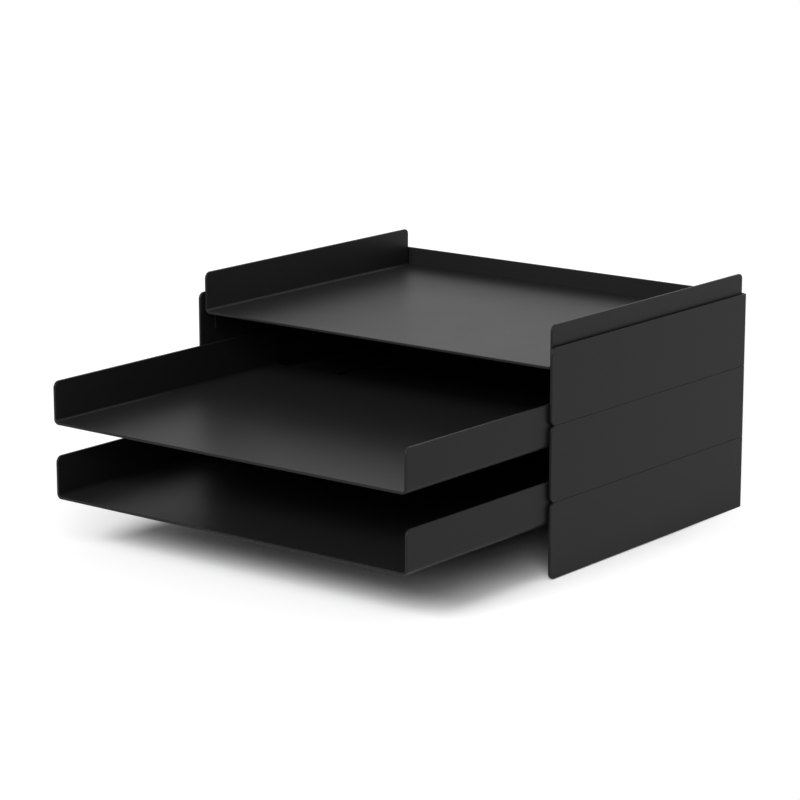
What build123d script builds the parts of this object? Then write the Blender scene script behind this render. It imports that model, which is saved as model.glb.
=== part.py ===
"""Desktop document organizer: three stacked steel racks, each with a tray that slides out to the front.

Each rack is a left side, back and right side bent from one sheet, with a shelf welded inside it. The
tray lies on two glide strips on its shelf. Two studs under the tray run in slots of the shelf, where a
bush, a washer and a nut on each stud keep the tray level and stop it at the ends of the slots.

Millimetres. +Z is up and the trays open towards -Y. The origin is on the desk, at the middle of the
object's outline with the two lower trays drawn out.
"""
from build123d import *
import os

os.makedirs("parts", exist_ok=True)

# Racks
rack_width = 330.0
rack_depth = 256.0
rack_height = 55.8
rack_sheet = 2.0
rack_bend_radius = 1.0
rack_bend_relief = 2.0
rack_corner_radius = 5.0
edge_rounding = 0.6

# Trays
tray_sheet = 2.0
tray_height = 32.0
tray_rise = 15.5
tray_bend_radius = 2.0
tray_front_corner_radius = 5.0
tray_rear_corner_radius = 4.0
tray_side_gap = 1.0
tray_rear_gap = 1.0
tray_setback = 4.0
bottom_tray_play = 1.0

# Shelves
shelf_sheet = 1.2
shelf_flange = 12.0
shelf_bend_radius = 1.0
shelf_corner_relief = 4.0
shelf_setback = 16.0

# Glide strips
glide_width = 8.0
glide_thickness = 1.0
glide_clearance = 0.2
glide_inset = 14.0
glide_end_margin = 8.0

# Guides under each tray
stud_diameter = 4.0
stud_side_inset = 52.0
stud_rear_inset = 24.0
stud_tail = 0.8
stud_chamfer = 0.4
stud_flange_diameter = 5.5
stud_flange_height = 0.7
bush_diameter = 8.0
bush_bore_gap = 0.1
bush_recess_gap = 0.2
slot_clearance = 0.3
slot_front_margin = 48.2
washer_diameter = 14.0
washer_thickness = 1.0
washer_bore_gap = 0.15
washer_clearance = 0.3
nut_across_flats = 7.0
nut_height = 3.8
nut_collar_diameter = 6.4
nut_collar_height = 1.2
thread_gap = 0.05

# Plates and screws that join the racks at the back
joining_plate_width = 40.0
joining_plate_height = 24.0
joining_plate_thickness = 3.0
joining_plate_inset = 63.0
joining_plate_corner = 3.0
screw_diameter = 4.0
screw_edge_distance = 6.0
screw_hole_gap = 0.25
screw_head_diameter = 7.6
screw_head_height = 2.2
screw_head_rounding = 1.6
screw_socket_across_flats = 2.5
screw_socket_depth = 1.3

# Foot rails and feet
foot_proud = 0.5
foot_pad_diameter = 14.0
foot_pad_height = 2.5
foot_pad_rounding = 0.8
foot_stem_diameter = 5.0
foot_stem_gap = 0.1
foot_head_diameter = 7.6
foot_head_height = 2.2
foot_head_taper = 1.0
foot_end_distance = 35.0
foot_rail_sheet = 1.5
foot_rail_bend_radius = 1.0
foot_rail_leg = 14.0
foot_rail_width = 16.0
foot_rail_end_margin = 25.0

# Widths and depths that follow
sides = {"left": -1, "right": 1}
half_width = rack_width / 2
inner_half_width = half_width - rack_sheet
tray_half_width = inner_half_width - tray_side_gap
tray_depth = rack_depth - rack_sheet - tray_rear_gap - tray_setback
glide_x = inner_half_width - glide_inset
stud_x = tray_half_width - stud_side_inset
joining_plate_x = inner_half_width - joining_plate_inset
foot_x = inner_half_width - foot_rail_width / 2
slot_width = bush_diameter + 2 * slot_clearance

# How far the trays travel, and how far each is drawn out in this pose
stud_from_rack_front = rack_depth - rack_sheet - tray_rear_gap - stud_rear_inset
tray_travel = stud_from_rack_front - shelf_setback - slot_front_margin
tray_drawn = {"bottom": tray_travel - bottom_tray_play, "middle": tray_travel, "top": 0.0}

# Places from front to back
rack_front = (tray_travel - tray_setback - rack_depth - screw_head_height) / 2
rack_rear = rack_front + rack_depth
rack_middle = (rack_front + rack_rear) / 2
rear_inner = rack_rear - rack_sheet
shelf_front = rack_front + shelf_setback
stud_closed_y = rack_front + stud_from_rack_front
foot_rows = {"front": rack_front + foot_end_distance, "rear": rack_rear - foot_end_distance}

# Heights that follow
levels = ["bottom", "middle", "top"]
bush_height = glide_clearance + glide_thickness + shelf_sheet + washer_clearance
stud_length = bush_height + washer_thickness + nut_height + nut_collar_height + stud_tail


def rack_bottom(level):
    return foot_proud + levels.index(level) * rack_height


def rack_top(level):
    return rack_bottom(level) + rack_height


def tray_underside(level):
    return rack_top(level) + tray_rise - tray_height


def shelf_top(level):
    return tray_underside(level) - glide_clearance - glide_thickness


def stud_places(level):
    """Where the two studs of a tray stand while it is drawn out as far as in this pose."""
    y = stud_closed_y - tray_drawn[level]
    return [(-stud_x, y), (stud_x, y)]


def bent_section(plane, corners, radius, sheet, outside):
    """Section of a bent sheet: corners run along its inside face, and outside is the side it thickens to."""
    with BuildSketch(plane) as section:
        with BuildLine():
            FilletPolyline(*corners, radius=radius)
            offset(amount=sheet, side=outside)
        make_face()
    return section.sketch


def make_rack(level):
    """Left side, back and right side, bent from one sheet."""
    bottom, top = rack_bottom(level), rack_top(level)
    plan = bent_section(
        Plane.XY.offset(bottom),
        [
            (-inner_half_width, rack_front),
            (-inner_half_width, rear_inner),
            (inner_half_width, rear_inner),
            (inner_half_width, rack_front),
        ],
        rack_bend_radius,
        rack_sheet,
        Side.LEFT,
    )
    bend_outside = rack_bend_radius + rack_sheet
    with BuildPart() as rack:
        extrude(plan, amount=rack_height)
        fillet(edges().filter_by(Axis.X).group_by(Axis.Y)[0], radius=rack_corner_radius)

        # The rim of the sheet is rounded, but not the lines where a corner or bend runs smoothly on.
        corner_lines = edges().filter_by(Axis.X).filter_by(lambda line: line.length < 2 * rack_sheet)
        bend_lines = edges().filter_by(Axis.Z).filter_by(lambda line: line.center().Y > rack_middle)
        fillet(edges() - corner_lines - bend_lines, radius=edge_rounding)

        # Reliefs at both ends of the two bends
        for side in sides.values():
            with BuildSketch(Plane.YZ.offset(side * (half_width - bend_outside / 2))):
                with Locations((rack_rear, bottom), (rack_rear, top)):
                    Rectangle(2 * rack_bend_relief, 2 * rack_bend_relief)
                relief_y = rack_rear - rack_bend_relief
                with Locations((relief_y, bottom + rack_bend_relief), (relief_y, top - rack_bend_relief)):
                    Circle(rack_bend_relief, mode=Mode.SUBTRACT)
            extrude(amount=bend_outside / 2, both=True, mode=Mode.SUBTRACT)

        # Screw holes along the edges that meet another rack
        hole_heights = []
        if level != "bottom":
            hole_heights.append(bottom + screw_edge_distance)
        if level != "top":
            hole_heights.append(top - screw_edge_distance)
        with BuildSketch(Plane.XZ.offset(-rack_rear)):
            for z in hole_heights:
                with Locations((-joining_plate_x, z), (joining_plate_x, z)):
                    Circle(screw_diameter / 2 + screw_hole_gap)
        extrude(amount=rack_sheet, mode=Mode.SUBTRACT)
    return rack


def make_shelf(level):
    """Shelf with flanges turned down at its sides and back, spot-welded inside the rack."""
    top = shelf_top(level)
    underside = top - shelf_sheet
    flange_end = top - shelf_flange
    flange_x = inner_half_width - shelf_sheet
    flange_y = rear_inner - shelf_sheet
    across = bent_section(
        Plane.XZ.offset(-(rear_inner - shelf_corner_relief)),
        [
            (-flange_x, flange_end),
            (-flange_x, underside),
            (flange_x, underside),
            (flange_x, flange_end),
        ],
        shelf_bend_radius,
        shelf_sheet,
        Side.LEFT,
    )
    along = bent_section(
        Plane.YZ.offset(shelf_corner_relief - inner_half_width),
        [(shelf_front, underside), (flange_y, underside), (flange_y, flange_end)],
        shelf_bend_radius,
        shelf_sheet,
        Side.LEFT,
    )
    with BuildPart() as shelf:
        extrude(across, amount=rear_inner - shelf_corner_relief - shelf_front)
        extrude(along, amount=2 * (inner_half_width - shelf_corner_relief))
        with BuildSketch(Plane.XY.offset(top)):
            slot_y = stud_closed_y - tray_travel / 2
            with Locations((-stud_x, slot_y), (stud_x, slot_y)):
                SlotCenterToCenter(tray_travel, slot_width, rotation=90)
        extrude(amount=-shelf_sheet, mode=Mode.SUBTRACT)
    return shelf


def make_glide(level, side):
    """Low-friction strip glued along the shelf, under one side of the tray."""
    start = shelf_front + glide_end_margin
    end = rear_inner - glide_end_margin
    with BuildPart() as glide:
        with BuildSketch(Plane.XY.offset(shelf_top(level))):
            with Locations((sides[side] * glide_x, (start + end) / 2)):
                SlotOverall(end - start, glide_width, rotation=90)
        extrude(amount=glide_thickness)
    return glide


def make_tray(level):
    """Base and two side walls bent from one sheet, open at the front and back."""
    underside = tray_underside(level)
    floor = underside + tray_sheet
    wall_top = underside + tray_height
    wall_x = tray_half_width - tray_sheet
    tray_rear = rear_inner - tray_rear_gap - tray_drawn[level]
    section = bent_section(
        Plane.XZ.offset(-tray_rear),
        [(-wall_x, wall_top), (-wall_x, floor), (wall_x, floor), (wall_x, wall_top)],
        tray_bend_radius,
        tray_sheet,
        Side.RIGHT,
    )
    with BuildPart() as tray:
        extrude(section, amount=tray_depth)
        wall_corners = edges().filter_by(Axis.X).group_by(Axis.Z)[-1].group_by(Axis.Y)
        fillet(wall_corners[0], radius=tray_front_corner_radius)
        fillet(wall_corners[-1], radius=tray_rear_corner_radius)

        # As on the rack, the rim is rounded, but not the lines where a corner or bend runs smoothly on.
        corner_lines = edges().filter_by(Axis.X).filter_by(lambda line: line.length < 2 * tray_sheet)
        wall_middle = underside + tray_height / 2
        bend_lines = edges().filter_by(Axis.Y).filter_by(lambda line: line.center().Z < wall_middle)
        fillet(edges() - corner_lines - bend_lines, radius=edge_rounding)
    return tray


def make_guide_studs(level):
    """Flanged studs welded under the tray, one for each slot."""
    underside = tray_underside(level)
    with BuildPart() as studs:
        with BuildSketch(Plane.XY.offset(underside)):
            with Locations(*stud_places(level)):
                Circle(stud_flange_diameter / 2)
        extrude(amount=-stud_flange_height)
        with BuildSketch(Plane.XY.offset(underside)):
            with Locations(*stud_places(level)):
                Circle(stud_diameter / 2)
        extrude(amount=-stud_length)
        chamfer(edges().group_by(Axis.Z)[0], length=stud_chamfer)
    return studs


def make_guide_bushes(level):
    """Plastic collars on the studs, which run along the slots of the shelf."""
    underside = tray_underside(level)
    with BuildPart() as bushes:
        with BuildSketch(Plane.XY.offset(underside)):
            with Locations(*stud_places(level)):
                Circle(bush_diameter / 2)
                Circle(stud_diameter / 2 + bush_bore_gap, mode=Mode.SUBTRACT)
        extrude(amount=-bush_height)
        with BuildSketch(Plane.XY.offset(underside)):
            with Locations(*stud_places(level)):
                Circle(stud_flange_diameter / 2 + bush_recess_gap)
        extrude(amount=-(stud_flange_height + bush_recess_gap), mode=Mode.SUBTRACT)
    return bushes


def make_guide_washers(level):
    """Washers that keep the tray from lifting off its shelf."""
    with BuildPart() as washers:
        with BuildSketch(Plane.XY.offset(tray_underside(level) - bush_height)):
            with Locations(*stud_places(level)):
                Circle(washer_diameter / 2)
                Circle(stud_diameter / 2 + washer_bore_gap, mode=Mode.SUBTRACT)
        extrude(amount=-washer_thickness)
    return washers


def make_guide_nuts(level):
    """Lock nuts below the washers, each with a round collar at its lower end."""
    nut_top = tray_underside(level) - bush_height - washer_thickness
    with BuildPart() as nuts:
        with BuildSketch(Plane.XY.offset(nut_top)):
            with Locations(*stud_places(level)):
                RegularPolygon(nut_across_flats / 2, 6, major_radius=False)
        extrude(amount=-nut_height)
        with BuildSketch(Plane.XY.offset(nut_top)):
            with Locations(*stud_places(level)):
                Circle(nut_collar_diameter / 2)
        extrude(amount=-(nut_height + nut_collar_height))
        with BuildSketch(Plane.XY.offset(nut_top)):
            with Locations(*stud_places(level)):
                Circle(stud_diameter / 2 + thread_gap)
        extrude(amount=-(nut_height + nut_collar_height), mode=Mode.SUBTRACT)
    return nuts


def make_joining_plate(lower_level, side):
    """Plate with tapped holes inside the back, across the seam above one rack."""
    seam = rack_top(lower_level)
    x = sides[side] * joining_plate_x
    with BuildPart() as plate:
        with BuildSketch(Plane.XZ.offset(-rear_inner)):
            with Locations((x, seam)):
                RectangleRounded(joining_plate_width, joining_plate_height, joining_plate_corner)
            with Locations((x, seam - screw_edge_distance), (x, seam + screw_edge_distance)):
                Circle(screw_diameter / 2 + thread_gap, mode=Mode.SUBTRACT)
        extrude(amount=joining_plate_thickness)
    return plate


def make_joining_screws(lower_level):
    """Button-head screws put in from behind, through both racks into the joining plates."""
    seam = rack_top(lower_level)
    places = [
        (x, z)
        for x in (-joining_plate_x, joining_plate_x)
        for z in (seam - screw_edge_distance, seam + screw_edge_distance)
    ]
    with BuildPart() as screws:
        with BuildSketch(Plane.XZ.offset(-rack_rear)):
            with Locations(*places):
                Circle(screw_head_diameter / 2)
        extrude(amount=-screw_head_height)
        fillet(edges().group_by(Axis.Y)[-1], radius=screw_head_rounding)
        with BuildSketch(Plane.XZ.offset(-rack_rear)):
            with Locations(*places):
                Circle(screw_diameter / 2)
        extrude(amount=rack_sheet + joining_plate_thickness)
        with BuildSketch(Plane.XZ.offset(-(rack_rear + screw_head_height))):
            with Locations(*places):
                RegularPolygon(screw_socket_across_flats / 2, 6, major_radius=False)
        extrude(amount=screw_socket_depth, mode=Mode.SUBTRACT)
    return screws


def make_foot_rail(side):
    """Angle welded inside a side of the bottom rack, with a hole for each foot."""
    outward = sides[side]
    inside_x = inner_half_width - foot_rail_sheet
    inside_z = foot_pad_height + foot_rail_sheet
    start = rack_front + foot_rail_end_margin
    end = rack_rear - foot_rail_end_margin
    section = bent_section(
        Plane.XZ.offset(-end),
        [
            (outward * inside_x, foot_pad_height + foot_rail_leg),
            (outward * inside_x, inside_z),
            (outward * (inner_half_width - foot_rail_width), inside_z),
        ],
        foot_rail_bend_radius,
        foot_rail_sheet,
        Side.LEFT if side == "right" else Side.RIGHT,
    )
    with BuildPart() as rail:
        extrude(section, amount=end - start)
        with BuildSketch(Plane.XY.offset(foot_pad_height)):
            for y in foot_rows.values():
                with Locations((outward * foot_x, y)):
                    Circle(foot_stem_diameter / 2 + foot_stem_gap)
        extrude(amount=foot_rail_sheet, mode=Mode.SUBTRACT)
    return rail


def make_foot(row, side):
    """Rubber foot pushed up through the foot rail and held by its tapered head."""
    place = (sides[side] * foot_x, foot_rows[row])
    head_bottom = foot_pad_height + foot_rail_sheet
    with BuildPart() as foot:
        with BuildSketch(Plane.XY):
            with Locations(place):
                Circle(foot_pad_diameter / 2)
        extrude(amount=foot_pad_height)
        fillet(edges().group_by(Axis.Z)[0], radius=foot_pad_rounding)
        with BuildSketch(Plane.XY.offset(foot_pad_height)):
            with Locations(place):
                Circle(foot_stem_diameter / 2)
        extrude(amount=foot_rail_sheet)
        with BuildSketch(Plane.XY.offset(head_bottom)):
            with Locations(place):
                Circle(foot_head_diameter / 2)
        extrude(amount=foot_head_height)
        chamfer(edges().group_by(Axis.Z)[-1], length=foot_head_taper)
    return foot


# Racks with what is fixed inside them, and the trays with their guides
for level in levels:
    rack = make_rack(level)
    rack.part.label = f"{level}_rack"
    export_step(rack.part, f"parts/{level}_rack.step")

    shelf = make_shelf(level)
    shelf.part.label = f"{level}_shelf"
    export_step(shelf.part, f"parts/{level}_shelf.step")

    for side in sides:
        glide = make_glide(level, side)
        glide.part.label = f"{level}_{side}_glide_strip"
        export_step(glide.part, f"parts/{level}_{side}_glide_strip.step")

    tray = make_tray(level)
    tray.part.label = f"{level}_tray"
    export_step(tray.part, f"parts/{level}_tray.step")

    studs = make_guide_studs(level)
    studs.part.label = f"{level}_guide_studs"
    export_step(studs.part, f"parts/{level}_guide_studs.step")

    bushes = make_guide_bushes(level)
    bushes.part.label = f"{level}_guide_bushes"
    export_step(bushes.part, f"parts/{level}_guide_bushes.step")

    washers = make_guide_washers(level)
    washers.part.label = f"{level}_guide_washers"
    export_step(washers.part, f"parts/{level}_guide_washers.step")

    nuts = make_guide_nuts(level)
    nuts.part.label = f"{level}_guide_nuts"
    export_step(nuts.part, f"parts/{level}_guide_nuts.step")

# Plates and screws at the two seams between the racks
for seam_name, lower_level in (("lower", "bottom"), ("upper", "middle")):
    for side in sides:
        plate = make_joining_plate(lower_level, side)
        plate.part.label = f"{seam_name}_{side}_joining_plate"
        export_step(plate.part, f"parts/{seam_name}_{side}_joining_plate.step")

    screws = make_joining_screws(lower_level)
    screws.part.label = f"{seam_name}_joining_screws"
    export_step(screws.part, f"parts/{seam_name}_joining_screws.step")

# What the stack stands on
for side in sides:
    rail = make_foot_rail(side)
    rail.part.label = f"{side}_foot_rail"
    export_step(rail.part, f"parts/{side}_foot_rail.step")

    for row in foot_rows:
        foot = make_foot(row, side)
        foot.part.label = f"{row}_{side}_foot"
        export_step(foot.part, f"parts/{row}_{side}_foot.step")
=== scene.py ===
"""Desktop document organizer: three powder-coated steel racks, each with a tray that slides out forwards.

The sections follow the object as it is put together, from the view of it to the nuts under its trays.
Lengths are in metres, or in millimetres where a name ends in _mm, and named angles are in degrees.
"""
import math
import bpy
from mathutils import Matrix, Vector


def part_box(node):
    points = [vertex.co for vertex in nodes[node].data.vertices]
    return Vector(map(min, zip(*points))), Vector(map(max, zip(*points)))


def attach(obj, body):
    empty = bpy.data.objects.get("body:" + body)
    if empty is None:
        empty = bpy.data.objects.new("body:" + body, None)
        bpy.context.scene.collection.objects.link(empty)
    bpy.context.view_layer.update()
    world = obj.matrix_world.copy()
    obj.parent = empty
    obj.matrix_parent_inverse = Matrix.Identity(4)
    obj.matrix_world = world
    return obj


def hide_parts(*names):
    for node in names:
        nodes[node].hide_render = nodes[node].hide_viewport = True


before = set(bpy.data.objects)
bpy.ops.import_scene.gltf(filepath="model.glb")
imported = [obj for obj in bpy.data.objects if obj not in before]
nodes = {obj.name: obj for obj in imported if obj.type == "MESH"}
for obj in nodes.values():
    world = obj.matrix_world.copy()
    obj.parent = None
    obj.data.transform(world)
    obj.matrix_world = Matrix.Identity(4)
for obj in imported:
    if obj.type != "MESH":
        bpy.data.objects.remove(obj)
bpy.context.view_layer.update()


# Camera
# It stands in front, to the right and a little above, as the photograph was taken, with a long lens and no
# shift. Its pitch is measured down from level, and its turn from facing the back of the racks square on.
camera_place = (1.3235, -1.6916, 0.5979)
camera_pitch = 13.082
camera_turn = 38.207
camera_lens_mm = 133.17

camera_data = bpy.data.cameras.new("camera")
camera_data.sensor_width = 36.0
camera_data.lens = camera_lens_mm
camera_data.clip_start = 0.05
camera_data.clip_end = 100.0
camera = bpy.data.objects.new("camera", camera_data)
camera.location = camera_place
camera.rotation_euler = (math.radians(90 - camera_pitch), 0, math.radians(camera_turn))
bpy.context.scene.collection.objects.link(camera)
bpy.context.scene.camera = camera
bpy.context.scene.view_settings.view_transform = "Standard"


# Floor and surroundings
# A seamless pale floor in an evenly white room. The camera sees the floor exposed until it is white, so that
# only the object's shadow is left on it. The photograph shows no shadow behind the racks, so the floor is
# plain white to the right of a line past their rear right corner, turned to the left from straight back.
floor_half_size = 40.0
floor_grey = "#e6e6e6"
floor_exposure = 1.47
white_line_turn = 31.4
white_fade = 0.05
room_light = 0.178


def linear(colour):
    """An sRGB hex colour as linear red, green, blue and alpha."""
    parts = [int(colour[i:i + 2], 16) / 255 for i in (1, 3, 5)]
    return [c / 12.92 if c <= 0.04045 else ((c + 0.055) / 1.055) ** 2.4 for c in parts] + [1.0]


def add(tree, kind, inputs, **settings):
    """Adds a shader node. An input is given a value, or another node's output, which is linked to it."""
    node = tree.nodes.new("ShaderNode" + kind)
    for name, value in settings.items():
        setattr(node, name, value)
    for name, value in inputs.items():
        if isinstance(value, bpy.types.NodeSocket):
            tree.links.new(value, node.inputs[name])
        else:
            node.inputs[name].default_value = value
    return node


def new_material(name):
    """An empty node material, its tree, and the object's own coordinates in it."""
    material = bpy.data.materials.new(name)
    material.use_nodes = True
    tree = material.node_tree
    tree.nodes.clear()
    return material, tree, add(tree, "TexCoord", {}).outputs["Object"]


def ray_kinds(tree):
    """Whether a ray comes from the camera, and whether from a glossy or clear surface."""
    rays = add(tree, "LightPath", {}).outputs
    mirrored = add(tree, "Math", {0: rays["Is Glossy Ray"], 1: rays["Is Transmission Ray"]}, operation="ADD")
    return rays["Is Camera Ray"], mirrored.outputs[0]


white = linear("#ffffff")
grey = linear(floor_grey)
exposed_grey = [floor_exposure * part for part in grey[:3]] + [1.0]

# The floor fades to white straight across that line, and is fully white from the corner on.
across = (math.cos(math.radians(white_line_turn)), math.sin(math.radians(white_line_turn)), 0.0)
rear_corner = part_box("bottom_rack")[1]
fade_end = rear_corner.x * across[0] + rear_corner.y * across[1]

pale_floor, tree, place = new_material("pale_studio_floor")
from_camera, mirrored = ray_kinds(tree)
shown = add(tree, "MixRGB", {"Fac": mirrored, "Color1": grey, "Color2": white})
exposed = add(tree, "MixRGB", {"Fac": from_camera, "Color1": shown.outputs[0], "Color2": exposed_grey})
lit = add(tree, "BsdfDiffuse", {"Color": exposed.outputs[0]})
aside = add(tree, "VectorMath", {0: place, 1: across}, operation="DOT_PRODUCT")
beyond = add(tree, "MapRange", {"Value": aside.outputs["Value"], "From Min": fade_end - white_fade,
                                "From Max": fade_end})
bare = add(tree, "Math", {0: beyond.outputs[0], 1: from_camera}, operation="MULTIPLY")
plain = add(tree, "Emission", {"Color": white, "Strength": 1.0})
surface = add(tree, "MixShader", {"Fac": bare.outputs[0], 1: lit.outputs[0], 2: plain.outputs[0]})
add(tree, "OutputMaterial", {"Surface": surface.outputs[0]})

floor_mesh = bpy.data.meshes.new("floor")
corners = [(x * floor_half_size, y * floor_half_size, 0) for x, y in [(-1, -1), (1, -1), (1, 1), (-1, 1)]]
floor_mesh.from_pydata(corners, [], [(0, 1, 2, 3)])
floor_mesh.materials.append(pale_floor)
floor = bpy.data.objects.new("floor", floor_mesh)
bpy.context.scene.collection.objects.link(floor)

world = bpy.data.worlds.new("white_room")
bpy.context.scene.world = world
world.use_nodes = True
tree = world.node_tree
tree.nodes.clear()
from_camera, mirrored = ray_kinds(tree)
seen = add(tree, "Math", {0: mirrored, 1: from_camera}, operation="ADD")
strength = add(tree, "MapRange", {"Value": seen.outputs[0], "To Min": room_light, "To Max": 1.0})
background = add(tree, "Background", {"Color": white, "Strength": strength.outputs[0]})
add(tree, "OutputWorld", {"Surface": background.outputs[0]})


# Lamps
# Two large softboxes in front, a little over a third of the way up, and a wide, weak one low behind on the
# right. All are far off, so they light the floor evenly. Turns run from the front towards the right.
def add_softbox(name, turn, height, width, strength):
    """A distant lamp as wide as a softbox looks from the object, with all its angles in degrees."""
    data = bpy.data.lights.new(name, "SUN")
    data.angle = math.radians(width)
    data.energy = strength
    lamp = bpy.data.objects.new(name, data)
    lamp.rotation_euler = (math.radians(90 - height), 0, math.radians(turn))
    bpy.context.scene.collection.objects.link(lamp)


add_softbox("front_softbox", turn=0, height=35.5, width=24, strength=2.4)
add_softbox("right_softbox", turn=28, height=34.5, width=42, strength=1.62)
add_softbox("rear_softbox", turn=140, height=17, width=90, strength=0.32)


# Racks
# Each is a left side, back and right side bent from one 2 mm steel sheet, and coated with baked black
# polyester powder. Its satin film has a fine grain over a slight orange peel, both drawn coarser and deeper
# than they are, so that they show.
levels = ["bottom", "middle", "top"]

# Most of the noise that makes a material's patches lies between these two levels.
cloud_low = 0.3
cloud_high = 0.7


def relief(tree, place, size_mm, depth_mm, over=None):
    """The relief of a grain of some size and depth, on top of another relief where one is given."""
    noise = add(tree, "TexNoise", {"Vector": place, "Scale": 1000 / size_mm, "Detail": 2.0})
    bump = add(tree, "Bump", {"Height": noise.outputs["Fac"], "Strength": 1.0, "Distance": depth_mm / 1000})
    if over:
        tree.links.new(over, bump.inputs["Normal"])
    return bump.outputs[0]


def finish_material(tree, place, normal, patch_mm, colours, roughness, spread, constants):
    """Ends a material: its two colours, and its roughness by a spread, drift together over patches."""
    cloud = add(tree, "TexNoise", {"Vector": place, "Scale": 1000 / patch_mm, "Detail": 3.0}).outputs["Fac"]
    dark, light = [linear(colour) for colour in colours]
    colour = add(tree, "MixRGB", {"Fac": cloud, "Color1": dark, "Color2": light})
    rough = add(tree, "MapRange", {"Value": cloud, "From Min": cloud_low, "From Max": cloud_high,
                                   "To Min": roughness - spread, "To Max": roughness + spread})
    surface = add(tree, "BsdfPrincipled", {"Base Color": colour.outputs[0], "Roughness": rough.outputs[0],
                                           "Normal": normal, **constants})
    add(tree, "OutputMaterial", {"Surface": surface.outputs[0]})


def cover(material, names):
    """Gives CAD pieces a material."""
    for name in names:
        nodes[name].data.materials.clear()
        nodes[name].data.materials.append(material)


satin_powder_coat, tree, place = new_material("satin_black_powder_coat")
orange_peel = relief(tree, place, size_mm=3.5, depth_mm=0.030)
powder_grain = relief(tree, place, size_mm=0.9, depth_mm=0.035, over=orange_peel)
finish_material(tree, place, powder_grain, patch_mm=45, colours=("#171717", "#191919"), roughness=0.404,
                spread=0.01, constants={"Specular IOR Level": 0.135})

cover(satin_powder_coat, [level + "_rack" for level in levels])


# Shelves
# Each is 1.2 mm steel sheet with its sides and rear edge turned down, spot-welded inside a rack before
# both are coated.
cover(satin_powder_coat, [level + "_shelf" for level in levels])


# Joining plates and screws
# Coated 3 mm plates inside the back, tapped for button-head screws that are put in from behind. The screws'
# steel is blackened with a thin, oily oxide, through which its grain still breaks up the gleam. The grain is
# drawn coarser than it is, so that it shows.
sides = ["left", "right"]
seams = ["lower", "upper"]

black_oxide, tree, place = new_material("black_oxide_steel")
steel_grain = relief(tree, place, size_mm=0.25, depth_mm=0.003)
finish_material(tree, place, steel_grain, patch_mm=2.5, colours=("#2a2a2d", "#3d3d42"), roughness=0.33,
                spread=0.05, constants={"Metallic": 1.0})

cover(satin_powder_coat, ["%s_%s_joining_plate" % (seam, side) for seam in seams for side in sides])
cover(black_oxide, [seam + "_joining_screws" for seam in seams])


# Foot rails and feet
# The rails are coated angles, welded inside the bottom rack. The feet are moulded from soft black rubber,
# dull and slightly uneven, and are pushed up through the rails.
moulded_rubber, tree, place = new_material("moulded_black_rubber")
mould_grain = relief(tree, place, size_mm=0.2, depth_mm=0.012)
finish_material(tree, place, mould_grain, patch_mm=6, colours=("#131313", "#1e1e1d"), roughness=0.74,
                spread=0.08, constants={"Specular IOR Level": 0.4})

cover(satin_powder_coat, [side + "_foot_rail" for side in sides])
cover(moulded_rubber, ["%s_%s_foot" % (row, side) for row in ["front", "rear"] for side in sides])


# Glide strips
# Black polyethylene strip, 1 mm thick, glued on the shelves. It is waxy, with fine lines along it from the
# knife that cut it.
knife_line_mm = 0.3
knife_line_length_mm = 40

glide_strip, tree, place = new_material("black_polyethylene_strip")
along = add(tree, "Mapping", {"Vector": place, "Scale": (1.0, knife_line_mm / knife_line_length_mm, 1.0)})
knife_lines = relief(tree, along.outputs[0], size_mm=knife_line_mm, depth_mm=0.006)
finish_material(tree, place, knife_lines, patch_mm=12, colours=("#151515", "#202020"), roughness=0.48,
                spread=0.08, constants={})

cover(glide_strip, ["%s_%s_glide_strip" % (level, side) for level in levels for side in sides])


# Trays
# Each is a base and two side walls bent from one 2 mm steel sheet, and coated like the racks.
# It lies on the glide strips and is guided by two studs that are welded under its base.
cover(satin_powder_coat, [level + "_tray" for level in levels])


# Studs and washers under the trays
# Steel, barrel-plated with bright zinc: bluish silver, clouded by the bath, and dulled by small nicks from
# tumbling. The studs have an M4 thread down to their ends.
thread_pitch_mm = 0.7
thread_depth_mm = 0.2
nick_mm = 0.7
nick_depth_mm = 0.010
zinc_look = {"patch_mm": 3, "colours": ("#9fa4aa", "#c9cdd1"), "roughness": 0.33, "spread": 0.08,
             "constants": {"Metallic": 1.0}}


def nicks(tree, place):
    """The relief of rounded nicks that lie close together."""
    cells = add(tree, "TexVoronoi", {"Vector": place, "Scale": 1000 / nick_mm}, feature="SMOOTH_F1")
    bump = add(tree, "Bump", {"Height": cells.outputs["Distance"], "Strength": 1.0,
                              "Distance": nick_depth_mm / 1000})
    return bump.outputs[0]


def grooves(tree, place, pitch_mm, depth_mm, over=None):
    """The relief of even grooves round an upright piece."""
    height = add(tree, "SeparateXYZ", {"Vector": place}).outputs["Z"]
    phase = add(tree, "Math", {0: height, 1: math.tau * 1000 / pitch_mm}, operation="MULTIPLY")
    wave = add(tree, "Math", {0: phase.outputs[0]}, operation="SINE")
    bump = add(tree, "Bump", {"Height": wave.outputs[0], "Strength": 1.0, "Distance": depth_mm / 1000})
    if over:
        tree.links.new(over, bump.inputs["Normal"])
    return bump.outputs[0]


zinc_plate, tree, place = new_material("bright_zinc_plated_steel")
finish_material(tree, place, nicks(tree, place), **zinc_look)

zinc_thread, tree, place = new_material("bright_zinc_plated_thread")
thread = grooves(tree, place, thread_pitch_mm, thread_depth_mm, over=nicks(tree, place))
finish_material(tree, place, thread, **zinc_look)

cover(zinc_thread, [level + "_guide_studs" for level in levels])
cover(zinc_plate, ["%s_guide_%s" % (level, part) for level in levels for part in ["washers", "nuts"]])


# Bushes
# Turned from natural acetal rod and run in the shelf slots: ivory white, a little translucent, with the
# tool's fine rings around them.
translucent = {"Subsurface Weight": 0.15, "Subsurface Radius": (0.001, 0.001, 0.001)}

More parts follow.
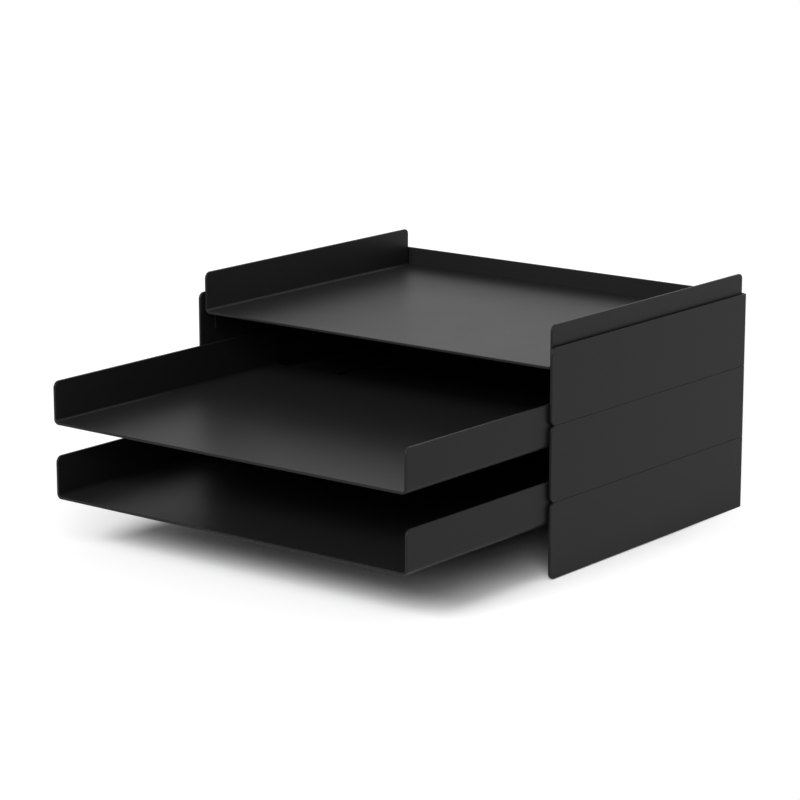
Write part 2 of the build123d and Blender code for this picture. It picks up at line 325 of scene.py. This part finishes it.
acetal, tree, place = new_material("natural_acetal")
tool_rings = grooves(tree, place, pitch_mm=0.12, depth_mm=0.002)
finish_material(tree, place, tool_rings, patch_mm=4, colours=("#ddd9cd", "#ece9df"), roughness=0.38,
                spread=0.04, constants=translucent)

cover(acetal, [level + "_guide_bushes" for level in levels])


# Lock nuts
# M4 nuts of zinc-plated steel, in place of the CAD model's plain ones: a chamfered hexagon against the
# washer, and below it a collar rolled over a ring that grips the thread. The ring is moulded from white
# nylon, which is slightly translucent and has a hazy surface.
half_flats_mm = 3.5
face_radius_mm = 3.4
chamfer_angle = 30
hexagon_height_mm = 3.8
bore_radius_mm = 2.05
mouth_mm = 0.3
collar_radius_mm = 3.2
lip_radius_mm = 2.58
lip_depth_mm = 4.7
lip_bulge_mm = 0.3
seat_depth_mm = 4.3
ring_bore_radius_mm = 1.98
ring_depth_mm = 4.6
ring_bulge_mm = 0.2
turning_steps = 72
edge_steps = 8
sharp_angle = 25


def rolled_edge(outer, inner, depth, bulge):
    """Points round an edge that bulges downwards from an outer to an inner radius."""
    turns = [math.pi * step / edge_steps for step in range(edge_steps + 1)]
    middle = (outer + inner) / 2
    return [(middle + (outer - middle) * math.cos(turn), depth + bulge * math.sin(turn)) for turn in turns]


def nut_outline(angle):
    """The nut's closed outline at an angle round it. The chamfers cut deepest at the hexagon's corners."""
    flat = half_flats_mm / math.cos(angle % (math.tau / 6) - math.tau / 12)
    rise = (flat - face_radius_mm) * math.tan(math.radians(chamfer_angle))
    mouth = [(bore_radius_mm, mouth_mm), (bore_radius_mm + mouth_mm, 0.0)]
    hexagon = [(face_radius_mm, 0.0), (flat, rise), (flat, hexagon_height_mm - rise),
               (face_radius_mm, hexagon_height_mm), (collar_radius_mm, hexagon_height_mm)]
    lip = rolled_edge(collar_radius_mm, lip_radius_mm, lip_depth_mm, lip_bulge_mm)
    return mouth + hexagon + lip + [(lip_radius_mm, seat_depth_mm), (bore_radius_mm, seat_depth_mm)]


def ring_outline(angle):
    """The nylon ring's closed outline, which is the same all round."""
    top = [(ring_bore_radius_mm, seat_depth_mm), (lip_radius_mm, seat_depth_mm)]
    return top + rolled_edge(lip_radius_mm, ring_bore_radius_mm, ring_depth_mm, ring_bulge_mm)


def turn_pair(name, outline, level, material):
    """Turns an outline of radii and depths below the washers round both studs of a tray."""
    low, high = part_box(level + "_guide_washers")
    washer_radius = (high.y - low.y) / 2
    y = low.y + washer_radius
    rows = len(outline(0.0))
    vertices = []
    faces = []
    for x in [low.x + washer_radius, high.x - washer_radius]:
        first = len(vertices)
        for step in range(turning_steps):
            angle = math.tau * step / turning_steps
            for radius_mm, depth_mm in outline(angle):
                r = radius_mm / 1000
                vertices.append((x + r * math.cos(angle), y + r * math.sin(angle), low.z - depth_mm / 1000))
            here = first + step * rows
            after = first + (step + 1) % turning_steps * rows
            for row in range(rows):
                below = (row + 1) % rows
                faces.append((here + row, here + below, after + below, after + row))
    mesh = bpy.data.meshes.new(name)
    mesh.from_pydata(vertices, [], faces)
    mesh.shade_smooth()
    mesh.set_sharp_from_angle(angle=math.radians(sharp_angle))
    mesh.materials.append(material)
    piece = bpy.data.objects.new(name, mesh)
    bpy.context.scene.collection.objects.link(piece)
    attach(piece, level + "_drawer")
    return piece


nylon, tree, place = new_material("white_nylon")
nylon_haze = relief(tree, place, size_mm=0.4, depth_mm=0.004)
finish_material(tree, place, nylon_haze, patch_mm=2, colours=("#e4e4e0", "#f0f0ed"), roughness=0.5,
                spread=0.05, constants=translucent)

for level in levels:
    nuts = turn_pair(level + "_lock_nuts", nut_outline, level, zinc_plate)
    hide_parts(level + "_guide_nuts")
    turn_pair(level + "_nylon_rings", ring_outline, level, nylon)
